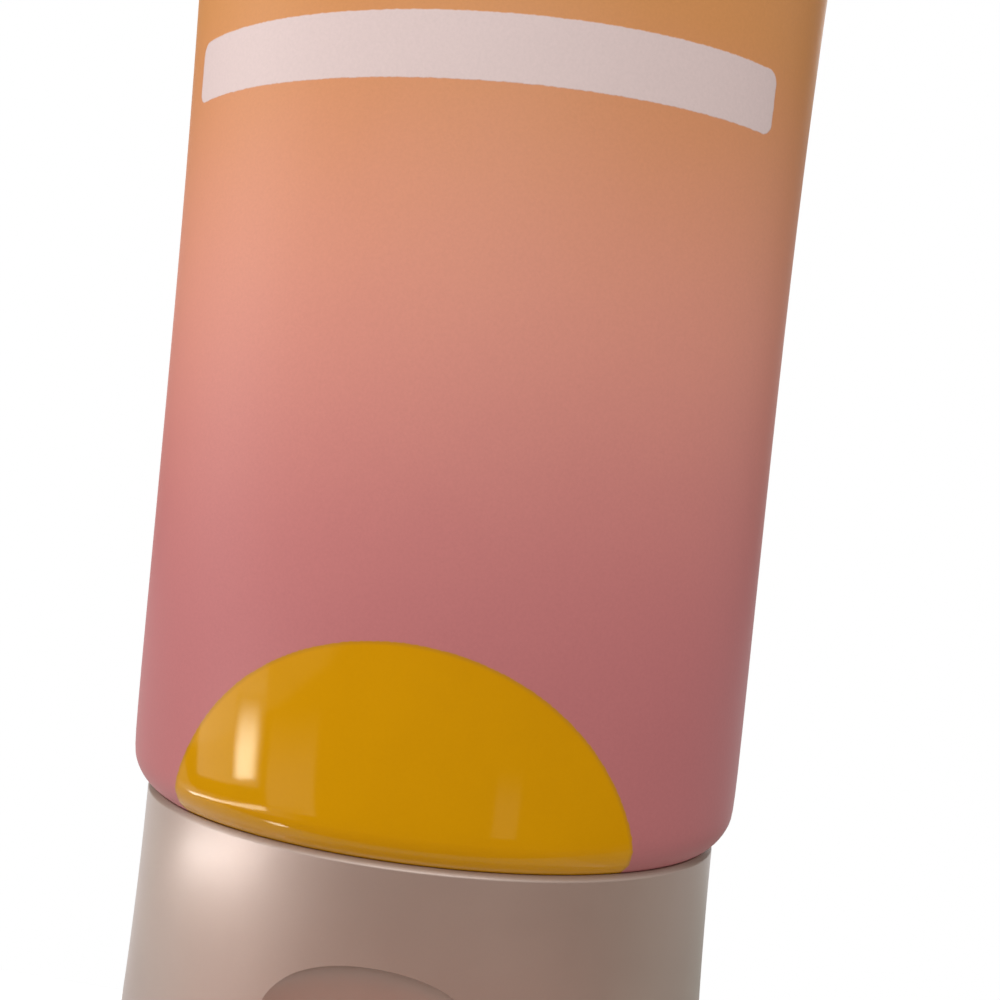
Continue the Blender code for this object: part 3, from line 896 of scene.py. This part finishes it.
class MouldHinge(bpy.types.Operator):
    """Model the film hinges and the spring strap, which bend as the lid turns"""

    bl_idname = "squeeze_tube.mould_hinge"
    bl_label = "Mould Hinge"

    def execute(self, context):
        look = context.scene.closure_look
        film_middle = 0.0042
        film = {
            "width": 0.0030, "height": 0.0012, "thickness": 0.00034,
            "back": HINGE_FLAT - 0.00002, "waist": 0.0,
        }
        strap = {
            "width": 0.0040, "height": 0.0060, "thickness": 0.00045,
            "back": HINGE_FLAT + 0.00025, "waist": 0.35,
        }
        self.finish(self.web("film_left", -film_middle, **film), "hinge_film_left", look)
        self.finish(self.web("film_right", film_middle, **film), "hinge_film_right", look)
        self.finish(self.web("spring_strap", 0.0, **strap), "hinge_spring_strap", look)
        return {"FINISHED"}

    @staticmethod
    def web(name, middle, width, height, thickness, back, waist):
        """A thin plate across the parting line, drawn in at the waist and thinned at the line."""
        low = (middle - width / 2, back, LID_HEIGHT - height / 2)
        high = (middle + width / 2, back + thickness, LID_HEIGHT + height / 2)
        plate = block(name, low, high)
        edit_all()
        bpy.ops.mesh.subdivide(number_cuts=20)
        bpy.ops.object.mode_set(mode="OBJECT")
        centre = back + thickness / 2
        thinning, reach = 0.35, 0.0006
        for point in plate.data.vertices:
            over_line = point.co.z - LID_HEIGHT
            rise = over_line / (height / 2)
            narrow = 1.0 - waist * (1.0 - rise * rise)
            thin = 1.0 - thinning * max(0.0, 1.0 - abs(over_line) / reach)
            point.co.x = middle + (point.co.x - middle) * narrow
            point.co.y = centre + (point.co.y - centre) * thin
        return plate

    @staticmethod
    def finish(piece, node, look):
        """Rounds a web, gives it its finish, hides the imported piece it replaces and bakes its place
        into its mesh.
        """
        round_edges(piece, width=0.00005, segments=2)
        smooth(piece)
        piece.data.materials.append(pearl_finish(look))
        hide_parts(node)
        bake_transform(piece)


def soft_lamp(name, place, target, width, height, power):
    """A rectangular lamp, turned to a target, that the camera doesn't see."""
    clear_selection()
    bpy.ops.object.light_add(type="AREA", location=place)
    lamp = name_active(name)
    lamp.rotation_euler = (Vector(target) - Vector(place)).to_track_quat("-Z", "Y").to_euler()
    lamp.data.shape = "RECTANGLE"
    lamp.data.size = width
    lamp.data.size_y = height
    lamp.data.energy = power
    lamp.visible_camera = False


def sheet(name, corner, side, other_side):
    """A flat sheet from a corner and its two sides, which only reflections see."""
    corner, side, other_side = Vector(corner), Vector(side), Vector(other_side)
    corners = [corner, corner + side, corner + side + other_side, corner + other_side]
    mesh = bpy.data.meshes.new(name)
    mesh.from_pydata(corners, [], [(0, 1, 2, 3)])
    made = bpy.data.objects.new(name, mesh)
    bpy.context.scene.collection.objects.link(made)
    made.visible_camera = False
    made.visible_diffuse = False
    made.visible_shadow = False
    return made


def card(name, corner, side, other_side, colour, near_colour=None):
    """A matt card for the tube to mirror, which may have a second colour near the tube."""
    made = sheet(name, corner, side, other_side)
    material, wire, shader = new_finish(name, Roughness=0.9)
    place = wire.place()
    x, y, _ = place.parts()
    near = ((x ** 2.0 + y ** 2.0) ** 0.5).step(0.080, 0.035)
    weave = wire.noise(place, scale=200.0) * 0.1 + 0.9
    ground = wire.blend(near, opaque(colour), opaque(near_colour or colour))
    wire.feed(shader["Base Color"], wire.dim(ground, weave))
    made.data.materials.append(material)


def glow(name, bearing, distance, sides, heights, strength, top_fade, side_fade=0.0015):
    """A clear upright sheet that glows for the tube to mirror, softly at its sides and top.

    Its bearing is in degrees from the front, to the right.
    """
    (left, right), (low, high) = sides, heights
    bearing = math.radians(bearing)
    outward = Vector((math.sin(bearing), -math.cos(bearing), 0.0))
    along = Vector((math.cos(bearing), math.sin(bearing), 0.0))
    corner = outward * distance + along * left + Vector((0.0, 0.0, low))
    made = sheet(name, corner, along * (right - left), (0.0, 0.0, high - low))
    material, wire, _ = new_finish(name)
    x, y, height = wire.place().parts()
    middle, half = (left + right) / 2, (right - left) / 2
    across = abs(x * along.x + y * along.y - middle)
    shine = across.step(half, half - side_fade) * height.step(high, high - top_fade) * strength
    clear = wire.node("ShaderNodeBsdfTransparent")
    light = wire.node("ShaderNodeEmission", {"Strength": shine})
    wire.surface(wire.node("ShaderNodeAddShader", {0: clear, 1: light}))
    made.data.materials.append(material)


class SetStudio(bpy.types.Operator):
    """Lay the pale floor, light the tube softly and set the camera"""

    bl_idname = "squeeze_tube.set_studio"
    bl_label = "Set Studio"

    def execute(self, context):
        scene = context.scene
        look = scene.studio_look
        scene.view_settings.view_transform = "Standard"
        self.lay_floor(look)
        self.fill_air(scene, look)
        self.hang_lamps(look)
        self.stand_cards(look)
        self.stand_glows(look)
        self.place_camera(scene, look)
        return {"FINISHED"}

    @staticmethod
    def lay_floor(look):
        """A pale floor, half clear to the camera: the white shows through, and the shadow stays."""
        size = 6.0
        clear_selection()
        # The floor ends close behind the foot, as a shelf does, so the open lid hangs past its edge
        bpy.ops.mesh.primitive_plane_add(
            size=size, location=(0.0, look.shelf_edge - size / 2, 0.0))
        bpy.ops.object.transform_apply(location=True, rotation=False, scale=False)
        floor = name_active("pale_floor")
        material, wire, shader = new_finish("pale_floor", Roughness=0.9, Specular_IOR_Level=0.1)
        tone = wire.noise(wire.place(), scale=30.0)
        dark, light = opaque((0.80, 0.80, 0.80)), opaque((0.82, 0.82, 0.82))
        wire.feed(shader["Base Color"], wire.blend(tone, dark, light))
        camera, glossy, through = wire.ray_kinds()
        strength = camera.larger(through) * look.floor_glow
        shine = wire.node("ShaderNodeEmission", {"Strength": strength})
        lit = wire.node("ShaderNodeAddShader", {0: wire.principled(), 1: shine})
        clear = wire.node("ShaderNodeBsdfTransparent")
        wire.surface(wire.node("ShaderNodeMixShader", {0: glossy * 0.5 + 0.5, 1: clear, 2: lit}))
        floor.data.materials.append(material)

    @staticmethod
    def fill_air(scene, look):
        """White air, at full strength to the camera and reflections and dimmer as a light."""
        world = bpy.data.worlds.new("studio_air")
        world.use_nodes = True
        scene.world = world
        wire = Wire(world.node_tree)
        air = world.node_tree.nodes["Background"].inputs
        camera, glossy, through = wire.ray_kinds()
        seen = camera.larger(glossy).larger(through)
        wire.feed(air["Color"], WHITE)
        wire.feed(air["Strength"], seen * (1.0 - look.ambient) + look.ambient)

    @staticmethod
    def hang_lamps(look):
        """Hangs the strip lamp at the left and the two wide panels."""
        middle = (0.0, 0.0, 0.06)
        soft_lamp(
            "key_strip", (-0.078, -0.034, 0.077), target=(0.0, 0.0, 0.077),
            width=0.030, height=0.096, power=look.key_power)
        soft_lamp(
            "fill_panel", (-0.03, -0.50, 0.45), target=middle,
            width=0.50, height=0.40, power=look.fill_power)
        soft_lamp(
            "back_panel", (0.10, 0.55, 0.50), target=middle,
            width=0.60, height=0.40, power=look.back_power)

    @staticmethod
    def stand_cards(look):
        """Stands a card at each side, and lays one in front and one close by at the right."""
        upright = (0.0, 0.0, 0.40)
        card(
            "left_card", corner=(-0.30, 0.02, 0.0),
            side=(0.0, 0.30, 0.0), other_side=upright, colour=look.card_dark)
        card(
            "right_card", corner=(0.30, 0.10, 0.0),
            side=(0.0, 0.40, 0.0), other_side=upright, colour=look.card_dark)
        card(
            "front_card", corner=(-0.12, -0.45, 0.0002),
            side=(0.28, 0.0, 0.0), other_side=(0.0, 0.43, 0.0),
            colour=look.card_dark, near_colour=look.card_warm)
        card(
            "side_card", corner=(0.024, -0.03, 0.0002),
            side=(0.056, 0.0, 0.0), other_side=(0.0, 0.09, 0.0), colour=look.card_grey)

    @staticmethod
    def stand_glows(look):
        """Stands up the sheets that the half disc, the rolled edge and the closure mirror."""
        window = {"bearing": -52, "distance": 0.048}
        glow(
            "left_window", **window, sides=(-0.014, 0.0075), heights=(0.0165, 0.034),
            strength=look.window_glow, top_fade=0.008)
        glow(
            "right_window", **window, sides=(0.008, 0.022), heights=(0.0080, 0.027),
            strength=look.window_glow * 0.7, top_fade=0.010)
        glow(
            "band", **window, sides=(-0.0013, 0.0067), heights=(0.0180, 0.0275),
            strength=look.band_glow, top_fade=0.006, side_fade=0.0028)
        glow(
            "low_window", **window, sides=(-0.030, 0.018), heights=(0.0, 0.0120),
            strength=look.low_glow, top_fade=0.005, side_fade=0.010)
        glow(
            "streak", bearing=-58, distance=0.026, sides=(-0.004, 0.0095),
            heights=(0.0194, 0.0212), strength=look.streak_glow,
            top_fade=0.0005, side_fade=0.0008)
        glow(
            "spark", bearing=-50, distance=0.0287, sides=(-0.0017, 0.0017),
            heights=(0.0002, 0.0060), strength=look.streak_glow,
            top_fade=0.002, side_fade=0.0006)
        glow(
            "far_window", bearing=24, distance=0.070, sides=(-0.0065, 0.003),
            heights=(0.0, 0.017), strength=look.far_glow, top_fade=0.007)

    @staticmethod
    def place_camera(scene, look):
        """Puts the camera in its place and turns it by its roll, its tilt and its bearing."""
        data = bpy.data.cameras.new("camera")
        data.lens = look.lens
        data.sensor_width = 36.0
        data.clip_start = 0.005
        data.clip_end = 20.0
        camera = bpy.data.objects.new("camera", data)
        scene.collection.objects.link(camera)
        tilt, roll, bearing = look.turn
        camera.matrix_world = (
            Matrix.Translation(look.eye)
            @ Matrix.Rotation(bearing, 4, "Z")
            @ Matrix.Rotation(math.pi / 2 - tilt, 4, "X")
            @ Matrix.Rotation(roll, 4, "Z")
        )
        scene.camera = camera


class TubePanel(bpy.types.Panel):
    """Lists the pieces and their settings"""

    bl_idname = "VIEW3D_PT_squeeze_tube"
    bl_label = "Squeeze Tube"
    bl_space_type = "VIEW_3D"
    bl_region_type = "UI"
    bl_category = "Tube"

    def draw(self, context):
        for name in GROUPS:
            look = getattr(context.scene, name)
            box = self.layout.box()
            for setting in type(look).__annotations__:
                box.prop(look, setting)
        for step in OPERATORS:
            self.layout.operator(step.bl_idname)


GROUPS = {"print_look": PrintLook, "closure_look": ClosureLook, "studio_look": StudioLook}
OPERATORS = (DressSleeve, DressInside, MouldCapBase, MouldFlipLid, MouldHinge, SetStudio)
CLASSES = (*GROUPS.values(), *OPERATORS, TubePanel)


def register():
    for kind in CLASSES:
        bpy.utils.register_class(kind)
    for name, group in GROUPS.items():
        setattr(bpy.types.Scene, name, bpy.props.PointerProperty(type=group))


def unregister():
    for name in GROUPS:
        delattr(bpy.types.Scene, name)
    for kind in reversed(CLASSES):
        bpy.utils.unregister_class(kind)


def main():
    """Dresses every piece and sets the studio."""
    register()
    bpy.ops.squeeze_tube.dress_sleeve()
    bpy.ops.squeeze_tube.dress_inside()
    bpy.ops.squeeze_tube.mould_cap_base()
    bpy.ops.squeeze_tube.mould_flip_lid()
    bpy.ops.squeeze_tube.mould_hinge()
    bpy.ops.squeeze_tube.set_studio()


if __name__ == "__main__":
    main()
